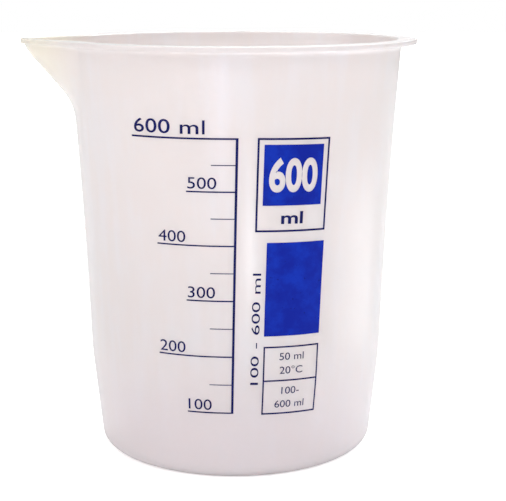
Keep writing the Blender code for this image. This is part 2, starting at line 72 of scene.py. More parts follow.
class Tree:
    """A thin hand on one node tree: makes nodes, sets their sockets and links them."""

    def __init__(self, tree: bpy.types.NodeTree) -> None:
        """Takes the tree to build in."""
        self.tree = tree

    def add(self, kind: str, **settings: object) -> bpy.types.Node:
        """Adds a node.

        Args:
            kind: the node's Blender type name.
            settings: properties by name, and input values by the socket's name in the "inputs" dict.

        Returns:
            The new node.
        """
        node = self.tree.nodes.new(kind)
        for name, value in settings.items():
            if name == "inputs":
                for socket, wanted in value.items():
                    node.inputs[socket].default_value = wanted
            else:
                setattr(node, name, value)
        return node

    def link(self, start: bpy.types.NodeSocket, end: bpy.types.NodeSocket) -> None:
        """Links an output socket to an input socket."""
        self.tree.links.new(start, end)

    def math(self, operation: str, *terms: object, clamp: bool = False) -> bpy.types.NodeSocket:
        """Adds a Math node.

        Args:
            operation: the Math node's operation.
            terms: numbers or output sockets, in order.
            clamp: whether the result is held between 0 and 1.

        Returns:
            The node's output socket.
        """
        node = self.add("ShaderNodeMath", operation=operation, use_clamp=clamp)
        for socket, term in zip(node.inputs, terms):
            if isinstance(term, bpy.types.NodeSocket):
                self.link(term, socket)
            else:
                socket.default_value = term
        return node.outputs[0]

    def smooth_step(self, value: bpy.types.NodeSocket, low: float, high: float) -> bpy.types.NodeSocket:
        """Adds a smooth ramp from 0 at low to 1 at high.

        Args:
            value: the output socket to map.
            low: the value that gives 0.
            high: the value that gives 1.

        Returns:
            The mapped output socket.
        """
        node = self.add(
            "ShaderNodeMapRange",
            interpolation_type="SMOOTHSTEP",
            inputs={"From Min": low, "From Max": high},
        )
        self.link(value, node.inputs["Value"])
        return node.outputs["Result"]

    def mix_colour(self, share: object, first: object, second: object) -> bpy.types.NodeSocket:
        """Mixes two colours.

        Args:
            share: number or socket, 0 for the first colour and 1 for the second.
            first: colour or socket.
            second: colour or socket.

        Returns:
            The mixed colour's output socket.
        """
        node = self.add("ShaderNodeMix", data_type="RGBA")
        for socket, term in ((node.inputs[0], share), (node.inputs[6], first), (node.inputs[7], second)):
            if isinstance(term, bpy.types.NodeSocket):
                self.link(term, socket)
            elif isinstance(term, tuple):
                socket.default_value = (*term, 1.0)
            else:
                socket.default_value = term
        return node.outputs[2]


class SocketKind(Enum):
    """Sockets that a shared effect can take or give."""

    VALUE = "NodeSocketFloat"
    COLOUR = "NodeSocketColor"
    PLACE = "NodeSocketVector"


def new_group(
    name: str, takes: dict[str, SocketKind], gives: dict[str, SocketKind]
) -> tuple[bpy.types.NodeTree, Tree]:
    """Starts a shader node group with named sockets.

    Args:
        name: the group's name.
        takes: its inputs, by name.
        gives: its outputs, by name.

    Returns:
        The group, and a hand on its tree.
    """
    group = bpy.data.node_groups.new(name, "ShaderNodeTree")
    for label, kind in takes.items():
        group.interface.new_socket(name=label, in_out="INPUT", socket_type=kind.value)
    for label, kind in gives.items():
        group.interface.new_socket(name=label, in_out="OUTPUT", socket_type=kind.value)
    return group, Tree(group)


def moulding_flow_group() -> bpy.types.NodeTree:
    """Builds the faint marks that hot plastic leaves as it flows up from the gate.

    Streaks stretch along the height; cloudy patches vary the milkiness; a fine grain is the
    satin texture of the mould. Outputs are a 0..1 tint mask, a 0..1 roughness mask and a height.

    Returns:
        The node group.
    """
    group, tree = new_group(
        "moulding_flow",
        {"Place": SocketKind.PLACE, "Streak Size": SocketKind.VALUE, "Grain Size": SocketKind.VALUE},
        {"Tint": SocketKind.VALUE, "Wear": SocketKind.VALUE, "Relief": SocketKind.VALUE},
    )
    source = tree.add("NodeGroupInput")
    result = tree.add("NodeGroupOutput")
    stretch = tree.add("ShaderNodeMapping", inputs={"Scale": (1.0, 1.0, 0.12)})
    tree.link(source.outputs["Place"], stretch.inputs["Vector"])
    streaks = tree.add("ShaderNodeTexNoise", inputs={"Detail": 3.0, "Roughness": 0.55})
    tree.link(stretch.outputs[0], streaks.inputs["Vector"])
    tree.link(source.outputs["Streak Size"], streaks.inputs["Scale"])
    clouds = tree.add("ShaderNodeTexNoise", inputs={"Scale": 38.0, "Detail": 2.0, "Roughness": 0.5})
    tree.link(source.outputs["Place"], clouds.inputs["Vector"])
    grain = tree.add("ShaderNodeTexNoise", inputs={"Detail": 2.0, "Roughness": 0.6})
    tree.link(source.outputs["Place"], grain.inputs["Vector"])
    tree.link(source.outputs["Grain Size"], grain.inputs["Scale"])
    tint = tree.math("MULTIPLY", tree.math("ADD", streaks.outputs[0], clouds.outputs[0]), 0.5)
    relief = tree.math(
        "ADD", tree.math("MULTIPLY", streaks.outputs[0], 0.55), tree.math("MULTIPLY", grain.outputs[0], 0.45)
    )
    tree.link(tint, result.inputs["Tint"])
    tree.link(tree.smooth_step(clouds.outputs[0], 0.35, 0.65), result.inputs["Wear"])
    tree.link(relief, result.inputs["Relief"])
    return group


def hairline_group() -> bpy.types.NodeTree:
    """Builds sparse fine scratches from washing and stacking.

    A stretched noise folded about its middle value gives thin lines where it crosses that value; a
    second noise keeps them only in patches.

    Returns:
        The node group, whose output is 1 in a scratch.
    """
    takes = {"Place": SocketKind.PLACE, "Amount": SocketKind.VALUE}
    group, tree = new_group("hairlines", takes, {"Scratch": SocketKind.VALUE})
    source = tree.add("NodeGroupInput")
    result = tree.add("NodeGroupOutput")
    turned = tree.add(
        "ShaderNodeMapping", inputs={"Rotation": (0.5, 0.35, 0.9), "Scale": (1.0, 1.0, 0.07)}
    )
    tree.link(source.outputs["Place"], turned.inputs["Vector"])
    lines = tree.add("ShaderNodeTexNoise", inputs={"Scale": 420.0, "Detail": 1.0, "Roughness": 0.4})
    tree.link(turned.outputs[0], lines.inputs["Vector"])
    patches = tree.add("ShaderNodeTexNoise", inputs={"Scale": 55.0, "Detail": 1.0})
    tree.link(source.outputs["Place"], patches.inputs["Vector"])
    away = tree.math("ABSOLUTE", tree.math("SUBTRACT", lines.outputs[0], 0.5))
    thin = tree.math("SUBTRACT", 1.0, tree.smooth_step(away, 0.0, 0.012))
    kept = tree.smooth_step(patches.outputs[0], 0.56, 0.68)
    scratch = tree.math("MULTIPLY", tree.math("MULTIPLY", thin, kept), source.outputs["Amount"], clamp=True)
    tree.link(scratch, result.inputs["Scratch"])
    return group


# ---------------------------------------------------------------------------------------------
# Finishes
# ---------------------------------------------------------------------------------------------


@dataclass(frozen=True)
class MilkyPlastic:
    """Natural polypropylene: a milky, satin plastic that lets soft light through."""

    colour: Colour = (0.875, 0.800, 0.785)
    # painted light: the lower wall is painted lighter and pinker, standing in for the brighter light that
    # falls there
    painted_light_low_colour: Colour = (0.94, 0.83, 0.86)
    # painted shading: the spout side is painted cream, standing in for the warm tone that light gives it
    # through the curved wall
    painted_shading_spout_colour: Colour = (0.88, 0.81, 0.67)
    streak_colour: Colour = (0.88, 0.83, 0.84)
    roughness: float = 0.36
    clearness: float = 0.42
    gloss: float = 0.35
    gloss_roughness: float = 0.2
    depth: float = 0.006
    ior: float = 1.49
    glow_through: float = 0.55
    glow_reach: Colour = (1.0, 0.86, 0.82)
    streak_size: float = 240.0
    grain_size: float = 2600.0
    scratches: float = 0.5
    painted_light_low_band: tuple[float, float] = (0.08, 0.34)
    painted_light_low_share: float = 0.6
    painted_shading_spout_band: tuple[float, float] = (0.66, 0.92)
    painted_shading_spout_share: float = 0.8
    streak_band: tuple[float, float] = (0.42, 0.66)
    wear: float = 0.05
    scratch_wear: float = 0.12
    scratch_depth: float = 0.3
    relief: float = 0.08
    relief_height: float = 0.02 * MM

    def build(
        self, rim_height: float, nose_reach: float, groups: dict[str, bpy.types.NodeTree]
    ) -> bpy.types.Material:
        """Builds the plastic.

        Args:
            rim_height: height of the rim.
            nose_reach: distance of the spout's nose from the axis.
            groups: the shared effects, by name.

        Returns:
            The material.
        """
        material = bpy.data.materials.new("milky_plastic")
        material.use_nodes = True
        tree = Tree(material.node_tree)
        shader = material.node_tree.nodes["Principled BSDF"]
        shader.inputs["Metallic"].default_value = 0.0
        shader.inputs["IOR"].default_value = self.ior
        shader.inputs["Transmission Weight"].default_value = self.clearness
        shader.inputs["Coat Weight"].default_value = self.gloss
        shader.inputs["Coat Roughness"].default_value = self.gloss_roughness
        shader.inputs["Subsurface Weight"].default_value = self.glow_through
        shader.inputs["Subsurface Radius"].default_value = self.glow_reach
        shader.inputs["Subsurface Scale"].default_value = self.depth
        place = tree.add("ShaderNodeTexCoord")
        apart = tree.add("ShaderNodeSeparateXYZ")
        tree.link(place.outputs["Object"], apart.inputs[0])
        flow = tree.add("ShaderNodeGroup", node_tree=groups["moulding_flow"])
        flow.inputs["Streak Size"].default_value = self.streak_size
        flow.inputs["Grain Size"].default_value = self.grain_size
        tree.link(place.outputs["Object"], flow.inputs["Place"])
        hair = tree.add("ShaderNodeGroup", node_tree=groups["hairlines"])
        hair.inputs["Amount"].default_value = self.scratches
        tree.link(place.outputs["Object"], hair.inputs["Place"])
        risen = tree.smooth_step(apart.outputs[2], *(share * rim_height for share in self.painted_light_low_band))
        low = tree.math("SUBTRACT", 1.0, risen)
        reach = tree.math("MULTIPLY", apart.outputs[0], -1.0)
        nose = tree.smooth_step(reach, *(share * nose_reach for share in self.painted_shading_spout_band))
        streaks = tree.smooth_step(flow.outputs["Tint"], *self.streak_band)
        milk = tree.mix_colour(streaks, self.colour, self.streak_colour)
        # painted light: the wall turns lighter and pinker towards the bottom
        milk = tree.mix_colour(tree.math("MULTIPLY", low, self.painted_light_low_share), milk, self.painted_light_low_colour)
        # painted shading: the wall turns cream towards the spout's nose
        milk = tree.mix_colour(tree.math("MULTIPLY", nose, self.painted_shading_spout_share), milk, self.painted_shading_spout_colour)
        tree.link(milk, shader.inputs["Base Color"])
        least = self.roughness - self.wear / 2
        rough = tree.math("MULTIPLY_ADD", flow.outputs["Wear"], self.wear, least)
        rough = tree.math("MULTIPLY_ADD", hair.outputs["Scratch"], self.scratch_wear, rough)
        tree.link(rough, shader.inputs["Roughness"])
        bump = tree.add("ShaderNodeBump", inputs={"Strength": self.relief, "Distance": self.relief_height})
        scored = tree.math("MULTIPLY", hair.outputs["Scratch"], self.scratch_depth)
        relief = tree.math("SUBTRACT", flow.outputs["Relief"], scored)
        tree.link(relief, bump.inputs["Height"])
        tree.link(bump.outputs["Normal"], shader.inputs["Normal"])
        return material


@dataclass(frozen=True)
class PrintInk:
    """Screen-printing ink: even and satin, with a slightly uneven film and a few pinholes."""

    name: str
    colour: Colour
    thin_colour: Colour
    roughness: float = 0.42
    sheen: float = 0.1
    streak_size: float = 900.0
    grain_size: float = 5200.0
    patch_band: tuple[float, float] = (0.38, 0.66)
    speck_band: tuple[float, float] = (0.66, 0.74)
    speck_share: float = 0.7
    speck_shade: float = 0.45
    wear: float = 0.12
    relief: float = 0.15
    relief_height: float = 0.01 * MM

    def build(self, groups: dict[str, bpy.types.NodeTree]) -> bpy.types.Material:
        """Builds the ink.

        Args:
            groups: the shared effects, by name.

        Returns:
            The material.
        """
        material = bpy.data.materials.new(self.name)
        material.use_nodes = True
        tree = Tree(material.node_tree)
        shader = material.node_tree.nodes["Principled BSDF"]
        shader.inputs["Metallic"].default_value = 0.0
        shader.inputs["Specular IOR Level"].default_value = self.sheen
        place = tree.add("ShaderNodeTexCoord")
        flow = tree.add("ShaderNodeGroup", node_tree=groups["moulding_flow"])
        flow.inputs["Streak Size"].default_value = self.streak_size
        flow.inputs["Grain Size"].default_value = self.grain_size
        tree.link(place.outputs["Object"], flow.inputs["Place"])
        specks = tree.add("ShaderNodeTexNoise", inputs={"Scale": 900.0, "Detail": 2.0, "Roughness": 0.7})
        tree.link(place.outputs["Object"], specks.inputs["Vector"])
        patches = tree.add("ShaderNodeTexNoise", inputs={"Scale": 130.0, "Detail": 5.0, "Roughness": 0.65})
        tree.link(place.outputs["Object"], patches.inputs["Vector"])
        thin = tree.smooth_step(patches.outputs[0], *self.patch_band)
        speck = tree.smooth_step(specks.outputs[0], *self.speck_band)
        film = tree.mix_colour(thin, self.colour, self.thin_colour)
        dark = tuple(channel * self.speck_shade for channel in self.colour)
        film = tree.mix_colour(tree.math("MULTIPLY", speck, self.speck_share), film, dark)
        tree.link(film, shader.inputs["Base Color"])
        least = self.roughness - self.wear / 2
        rough = tree.math("MULTIPLY_ADD", flow.outputs["Wear"], self.wear, least)
        tree.link(rough, shader.inputs["Roughness"])
        bump = tree.add("ShaderNodeBump", inputs={"Strength": self.relief, "Distance": self.relief_height})
        tree.link(flow.outputs["Relief"], bump.inputs["Height"])
        tree.link(bump.outputs["Normal"], shader.inputs["Normal"])
        return material


# ---------------------------------------------------------------------------------------------
# Vessel
# ---------------------------------------------------------------------------------------------


@dataclass
class Vessel:
    """The one-piece moulding: floor, tapering wall, spout and rim flange.

    Every surface is a function of two parameters: the angle from the spout's ridge, and the height
    or a place along the rounded edges. All sizes are metres.
    """

    rim_height: float
    flange_reach: float
    knee_radius: float = 45.0 * MM
    knee_height: float = 30.0 * MM
    knee_softness: float = 0.2 * MM
    lower_taper: float = math.radians(6.1)
    upper_taper: float = math.radians(1.75)
    flare_radius: float = 2000.0 * MM
    wall: float = 1.4 * MM
    floor: float = 2.5 * MM
    base_corner: float = 3.8 * MM
    inner_corner: float = 3.0 * MM
    flange_thickness: float = 1.5 * MM
    flange_at_nose: float = 0.9 * MM
    flange_fillet: float = 1.8 * MM
    edge_rounding: float = 0.55 * MM
    spout_height: float = 24.5 * MM
    spout_angle: float = math.radians(38.7)
    spout_root: float = 13.6 * MM
    spout_nose: float = 8.0 * MM
    spout_spread: float = math.radians(26.0)
    nose_rounding: float = math.radians(6.0)
    side_power: float = 1.5
    spout_columns: int = 112
    round_columns: int = 176
    wall_rings: int = 70
    corner_rings: int = 9
    disc_rings: int = 5
    disc_start: float = 0.02
    column_fan: float = 1.15

    @property
    def flange_width(self) -> float:
        """Width of the flange away from the spout."""
        return self.flange_reach - float(self.wall_radius(self.rim_height))

    def wall_radius(self, height: Array | float) -> Array:
        """Outer radius of the plain wall.

        It is the smooth minimum of two lines through the knee: the lower cone, and the slimmer
        upper cone with its flare, which grows with the square of the height above the knee.

        Args:
            height: heights above the underside.

        Returns:
            The radii.
        """
        rise = np.asarray(height, dtype=float) - self.knee_height
        lower = self.knee_radius + math.tan(self.lower_taper) * rise
        upper = self.knee_radius + math.tan(self.upper_taper) * rise + rise * rise / (2 * self.flare_radius)
        return (lower + upper - np.sqrt((lower - upper) ** 2 + self.knee_softness**2)) / 2

    def spout_depth(self, height: Array) -> Array:
        """How far the ridge of the spout stands out from the wall.

        A root arc leaves the wall tangentially, a straight run follows at the spout's angle, and a
        nose arc turns up to meet the rim.

        Args:
            height: heights above the underside.

        Returns:
            The depths.
        """
        sine, cosine = math.sin(self.spout_angle), math.cos(self.spout_angle)
        root_rise, nose_rise = self.spout_root * sine, self.spout_nose * sine
        straight = self.spout_height - root_rise - nose_rise
        root_depth = self.spout_root * (1 - cosine)
        full = root_depth + straight * math.tan(self.spout_angle) + self.spout_nose * (1 - cosine)
        up = np.clip(height - (self.rim_height - self.spout_height), 0, self.spout_height)
        root = self.spout_root - np.sqrt(np.maximum(self.spout_root**2 - up * up, 0))
        run = root_depth + (up - root_rise) * math.tan(self.spout_angle)
        down = self.spout_height - up
        nose = full - self.spout_nose + np.sqrt(np.maximum(self.spout_nose**2 - down * down, 0))
        return np.where(up < root_rise, root, np.where(down > nose_rise, run, nose))

    def spout_share(self, turn: Array) -> Array:
        """Share of the spout's depth at an angle from its ridge: near-flat sides and a rounded nose.

        Args:
            turn: angles from the ridge.

        Returns:
            One minus the rounded angle over its value at the fold, raised to the side power.
        """
        rounded = np.sqrt(turn * turn + self.nose_rounding**2) - self.nose_rounding
        at_fold = math.hypot(self.spout_spread, self.nose_rounding) - self.nose_rounding
        return np.clip(1 - rounded / at_fold, 0, 1) ** self.side_power

    def outer(self, turn: Array, height: Array) -> Array:
        """Outer radius: the plain wall plus the spout's depth times its share."""
        return self.wall_radius(height) + self.spout_depth(height) * self.spout_share(turn)

    def inner(self, turn: Array, height: Array) -> Array:
        """Inner radius: the outer one less the wall over the cosine of the surface's slope.

        Args:
            turn: angles from the ridge.
            height: heights above the underside.

        Returns:
            The radii.
        """
        rise, swing = 0.05 * MM, math.radians(0.05)
        here = self.outer(turn, height)
        up = (self.outer(turn, height + rise) - self.outer(turn, height - rise)) / (2 * rise)
        round_ = (self.outer(turn + swing, height) - self.outer(turn - swing, height)) / (2 * swing * here)
        return here - self.wall * np.sqrt(1 + up * up + round_ * round_)

    def flange(self, turn: Array) -> Array:
        """Width of the flange: a smooth step from its width at the nose to its full width at the folds."""
        share = np.clip(np.abs(turn) / self.spout_spread, 0, 1)
        ease = share * share * (3 - 2 * share)
        return self.flange_at_nose + (self.flange_width - self.flange_at_nose) * ease

    def turns(self) -> Array:
        """Angles of the columns from the spout's ridge, closer together across the spout."""
        edge = self.column_fan * self.spout_spread
        spout = np.linspace(-edge, edge, self.spout_columns, endpoint=False)
        rest = np.linspace(edge, 2 * math.pi - edge, self.round_columns, endpoint=False)
        turns = np.concatenate([spout, rest])
        return np.where(turns > math.pi, turns - 2 * math.pi, turns)

    def sections(self, turn: Array) -> tuple[Array, Array]:
        """Radius and height of every ring, from the centre of the base over the rim to the floor's centre.

        Rounded corners are quarter circles: radius follows the sine and height the cosine of an
        angle that runs from 0 to 90 degrees.

        Args:
            turn: angles of the columns.

        Returns:
            Two grids, rings by columns: radii and heights.
        """
        quarter = np.linspace(0, math.pi / 2, self.corner_rings)[:, None]
        flat = np.zeros_like(turn)[None, :]
        grid = turn[None, :]
        radii, heights = [], []

        def add(radius: Array, height: Array) -> None:
            """Appends rings, given as radii and heights that broadcast to rings by columns."""
            radius, height = np.broadcast_arrays(radius + flat, height + flat)
            radii.append(radius)
            heights.append(height)

        steps = np.linspace(self.disc_start, 1, self.disc_rings + 1)[:, None]
        base_edge = self.outer(grid, np.zeros(1)) - self.base_corner
        add(base_edge * steps[:-1], np.zeros((self.disc_rings, 1)))
        level = self.base_corner * (1 - np.cos(quarter))
        add(self.outer(grid, level) - self.base_corner * (1 - np.sin(quarter)), level)
        under = self.rim_height - self.flange_thickness
        fillet_low = under - self.flange_fillet
        level = np.linspace(self.base_corner, fillet_low, self.wall_rings)[1:, None]
        add(self.outer(grid, level), level)
        width = self.flange(grid)
        share = width / self.flange_width
        level = fillet_low + self.flange_fillet * np.sin(quarter[1:])
        add(self.outer(grid, level) + self.flange_fillet * share * (1 - np.cos(quarter[1:])), level)
        rim = self.outer(grid, np.full(1, self.rim_height)) + width
        pull = self.edge_rounding * share
        add(rim - pull * (1 - np.sin(quarter)), under + self.edge_rounding * (1 - np.cos(quarter)))
        add(rim - pull * (1 - np.cos(quarter)), self.rim_height - self.edge_rounding * (1 - np.sin(quarter)))
        mouth = self.inner(grid, np.full(1, self.rim_height))
        middle = (rim - pull + mouth + self.edge_rounding) / 2
        add(middle, np.full((1, 1), self.rim_height))
        level = self.rim_height - self.edge_rounding * (1 - np.cos(quarter))
        add(self.inner(grid, level) + self.edge_rounding * (1 - np.sin(quarter)), level)
        corner_top = self.floor + self.inner_corner
        level = np.linspace(self.rim_height - self.edge_rounding, corner_top, self.wall_rings)[1:, None]
        add(self.inner(grid, level), level)
        rise = self.inner_corner * (1 - np.sin(quarter[1:]))
        level = self.floor + rise
        add(self.inner(grid, level) - self.inner_corner * (1 - np.cos(quarter[1:])), level)
        last = radii[-1][-1:]
        add(last * steps[::-1][1:], np.full((self.disc_rings, 1), self.floor))
        return np.vstack(radii), np.vstack(heights)

    def build(self, material: bpy.types.Material) -> bpy.types.Object:
        """Builds the vessel as one closed skin.

        Args:
            material: the plastic.

        Returns:
            The object.
        """
        turn = self.turns()
        radii, heights = self.sections(turn)
        rings, columns = radii.shape
        points = np.stack([-np.cos(turn) * radii, -np.sin(turn) * radii, heights], axis=2).reshape(-1, 3)
        poles = np.array([[0.0, 0.0, 0.0], [0.0, 0.0, self.floor]])
        points = np.vstack([points, poles])
        column = np.arange(columns)
        after = (column + 1) % columns
        low = (np.arange(rings - 1) * columns)[:, None]
        quads = np.stack([low + column, low + after, low + columns + after, low + columns + column], axis=2)
        first, last = rings * columns, (rings - 1) * columns
        base_fan = np.stack([np.full(columns, first), after, column], axis=1)
        floor_fan = np.stack([last + column, last + after, np.full(columns, first + 1)], axis=1)
        faces = quads.reshape(-1, 4).tolist() + base_fan.tolist() + floor_fan.tolist()
        return make_piece("vessel", points, faces, material, "beaker_body")


def make_piece(
    name: str, points: Array, faces: list, material: bpy.types.Material, node: str
) -> bpy.types.Object:
    """Makes a smooth mesh object that stands for one node of the frame.

    Args:
        name: the piece's name.
        points: vertex places, in metres.
        faces: vertex numbers of each face.
        material: its finish.
        node: the node it stands for.

    Returns:
        The object, riding on the frame.
    """
    mesh = bpy.data.meshes.new(name)
    mesh.from_pydata(points.tolist(), [], faces)
    mesh.update()
    mesh.shade_smooth()
    mesh.set_sharp_from_angle(angle=SHARP_ANGLE)
    mesh.materials.append(material)
    piece = bpy.data.objects.new(name, mesh)
    bpy.context.scene.collection.objects.link(piece)
    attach(piece, ROOT)
    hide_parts(node)
    log.info("built %s: %d faces, stands for %s", name, len(faces), node)
    return piece


# ---------------------------------------------------------------------------------------------
# Print
# ---------------------------------------------------------------------------------------------


class Boldness(Enum):
    """How far a line of print is thickened, as a share of the font's size."""

    PLAIN = 0.0
    SLIGHT = 0.005
    FIRM = 0.02
    HEAVY = 0.035


@dataclass(frozen=True)
class PrintLine:
    """A line of print: its text, its boldness, and the nodes of its characters from left to right."""

    text: str
    nodes: tuple[str, ...]
    boldness: Boldness = Boldness.PLAIN
    tilt: float = 0.0
    reads_up: bool = False


@dataclass
class Print:
    """Every ink film on the wall, seated on the vessel.

    A flat shape is wrapped by turning its across value into an angle and keeping its up value as
    the height. Places come from the frame's films; letters are drawn again with finer curves.
    """

    vessel: Vessel
    line_ink: bpy.types.Material
    solid_ink: bpy.types.Material
    clearance: float = 0.3 * MM
    film: float = 0.15 * MM
    seat: float = 0.008 * MM
    thickness: float = 0.03 * MM
    lean: float = math.radians(1.19)
    panel_tilt: float = math.radians(1.6)
    facet: float = 1.0 * MM
    facet_height: float = 4.0 * MM
    weld: float = 0.002 * MM
    top_numeral: int = 6
    letter_steps: int = 8
    letter_weld: float = 0.0005
    margin: float = 0.4 * MM
    made: list[bpy.types.Object] = field(default_factory=list)

    @property
    def radius(self) -> float:
        """Radius that turns an across value into an angle: the wall's, half-way up the scale."""
        low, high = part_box("graduation_ladder")
        return float(self.vessel.wall_radius((low.z + high.z) / 2))

    def axes(self, tilt: float) -> Array:
        """Flat directions of print: lines drop by the tilt and uprights lean over.

        Args:
            tilt: the lines' tilt.

        Returns:
            Two rows: a line's direction and an upright's.
        """
        lean, drop = math.tan(self.lean), math.tan(tilt)
        return np.array([[1 - lean * drop, -drop], [lean, 1.0]])

    def flat_skin(self, node: str) -> FlatShape:
        """Outer skin of a frame's film, unrolled.

        Args:
            node: the film's node.

        Returns:
            Flat points (across, up) and the faces between them.
        """
        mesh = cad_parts[node].data
        places = np.zeros(len(mesh.vertices) * 3)
        mesh.vertices.foreach_get("co", places)
        places = places.reshape(-1, 3)
        radius = np.hypot(places[:, 0], places[:, 1])
        stand_off = radius - self.vessel.wall_radius(places[:, 2])
        is_outer = stand_off > self.clearance + self.film / 2
        turn = np.arctan2(places[:, 0], -places[:, 1])
        flat = np.stack([turn * self.radius, places[:, 2]], axis=1)
        corners = np.zeros(len(mesh.loops), dtype=int)
        mesh.loops.foreach_get("vertex_index", corners)
        triangles = corners.reshape(-1, 3)
        return flat, [tuple(row) for row in triangles[is_outer[triangles].all(axis=1)]]

    def cut(self, flat: Array, faces: list[tuple[int, ...]]) -> FlatShape:
        """Welds a flat shape and cuts it along even lines, so that it can follow the round wall.

        Args:
            flat: points (across, up).
            faces: the faces between them.

        Returns:
            The finer flat shape.
        """
        sheet = bmesh.new()
        points = [sheet.verts.new((across, up, 0)) for across, up in flat]
        for face in faces:
            sheet.faces.new([points[corner] for corner in face])
        loose = [vertex for vertex in sheet.verts if not vertex.link_faces]
        bmesh.ops.delete(sheet, geom=loose, context="VERTS")
        bmesh.ops.remove_doubles(sheet, verts=sheet.verts, dist=self.weld)
        for axis, spacing in ((0, self.facet), (1, self.facet_height)):
            places = [vertex.co[axis] for vertex in sheet.verts]
            low, high = min(places), max(places)
            pieces = max(1, math.ceil((high - low) / spacing))
            normal = (1, 0, 0) if axis == 0 else (0, 1, 0)
            for place in np.linspace(low, high, pieces + 1)[1:-1]:
                everything = list(sheet.verts) + list(sheet.edges) + list(sheet.faces)
                spot = (place, 0, 0) if axis == 0 else (0, place, 0)
                bmesh.ops.bisect_plane(sheet, geom=everything, dist=self.weld, plane_co=spot, plane_no=normal)
        bmesh.ops.recalc_face_normals(sheet, faces=sheet.faces)
        if sum(face.normal.z * face.calc_area() for face in sheet.faces) < 0:
            bmesh.ops.reverse_faces(sheet, faces=sheet.faces)
        sheet.verts.index_update()
        flat = np.array([vertex.co[:2] for vertex in sheet.verts])
        cut_faces = [tuple(vertex.index for vertex in face.verts) for face in sheet.faces]
        sheet.free()
        return flat, cut_faces

    def wrap(self, flat: Array, stand_off: float) -> Array:
        """Places flat points on the wall: across over the print radius is the angle, up is the height.

        Args:
            flat: points (across, up).
            stand_off: distance from the wall.

        Returns:
            Points in space.
        """
        turn = flat[:, 0] / self.radius
        radius = self.vessel.wall_radius(flat[:, 1]) + stand_off
        return np.stack([radius * np.sin(turn), -radius * np.cos(turn), flat[:, 1]], axis=1)

    def lay(self, node: str, flat: Array, faces: list[tuple[int, ...]], ink: bpy.types.Material) -> None:
        """Lays one closed ink film on the wall.

        Args:
            node: the node it stands for.
            flat: points (across, up).
            faces: the faces between them.
            ink: its finish.
        """
        flat, faces = self.cut(flat, faces)
        count = len(flat)
        lower = self.wrap(flat, self.seat)
        upper = self.wrap(flat, self.seat + self.thickness)
        skin = [tuple(corner + count for corner in face) for face in faces]
        back = [tuple(reversed(face)) for face in faces]
        sides = [(start, end, end + count, start + count) for start, end in self.rim_edges(faces)]
        points = np.vstack([lower, upper])
        self.made.append(make_piece("ink_" + node, points, skin + back + sides, ink, node))

    def letters(self, line: PrintLine) -> list[FlatShape]:
        """Draws a line of print flat with fine curves.

        Args:
            line: the line of print.

        Returns:
            One flat shape for each character, left to right.
        """
        curve = bpy.data.curves.new("lettering", "FONT")
        curve.body = line.text
        curve.resolution_u = self.letter_steps
        curve.render_resolution_u = self.letter_steps
        curve.offset = line.boldness.value
        lettering = bpy.data.objects.new("lettering", curve)
        bpy.context.scene.collection.objects.link(lettering)
        depsgraph = bpy.context.evaluated_depsgraph_get()
        mesh = bpy.data.meshes.new_from_object(lettering.evaluated_get(depsgraph))
        bpy.data.objects.remove(lettering)
        sheet = bmesh.new()
        sheet.from_mesh(mesh)
        bmesh.ops.remove_doubles(sheet, verts=sheet.verts, dist=self.letter_weld)
        shapes = self.separate(sheet)
        sheet.free()
        bpy.data.meshes.remove(mesh)
        return shapes

    @staticmethod
    def separate(sheet: bmesh.types.BMesh) -> list[FlatShape]:
        """Splits a flat sheet into its separate shapes.

        Args:
            sheet: the sheet.

        Returns:
            The shapes, left to right.
        """
        sheet.verts.index_update()
        shapes = []
        unseen = set(sheet.faces)
        while unseen:
            front = [unseen.pop()]
            members = list(front)
            while front:
                near = {other for edge in front.pop().edges for other in edge.link_faces} & unseen
                unseen -= near
                front.extend(near)
                members.extend(near)
            corners = sorted({vertex for face in members for vertex in face.verts}, key=lambda v: v.index)
            place = {vertex: number for number, vertex in enumerate(corners)}
            flat = np.array([vertex.co[:2] for vertex in corners])
            shapes.append((flat, [tuple(place[vertex] for vertex in face.verts) for face in members]))
        return sorted(shapes, key=lambda shape: shape[0][:, 0].min())

    @staticmethod
    def fit(drawn: Array, target: Array) -> Array:
        """Moves drawn points onto a target shape's box: each is scaled from its own box to that one.

        Args:
            drawn: flat points to move.
            target: flat points whose box they take.

        Returns:
            The moved points.
        """
        low, high = drawn.min(axis=0), drawn.max(axis=0)
        target_low, target_high = target.min(axis=0), target.max(axis=0)
        return target_low + (drawn - low) / (high - low) * (target_high - target_low)

    @staticmethod
    def rim_edges(faces: list[tuple[int, ...]]) -> list[tuple[int, int]]:
        """Edges that only one face uses, each in its face's direction."""
        directed = {(face[at - 1], face[at]) for face in faces for at in range(len(face))}
        return sorted(edge for edge in directed if edge[::-1] not in directed)

    def lay_line(self, line: PrintLine) -> None:
        """Lays each character of a line of print where the frame's film of it lies."""
        axes = self.axes(line.tilt)
        for node, (drawn, faces) in zip(line.nodes, self.letters(line), strict=True):
            if line.reads_up:
                drawn = np.stack([-drawn[:, 1], drawn[:, 0]], axis=1)
            target = self.flat_skin(node)[0] @ np.linalg.inv(axes)
            self.lay(node, self.fit(drawn, target) @ axes, faces, self.line_ink)

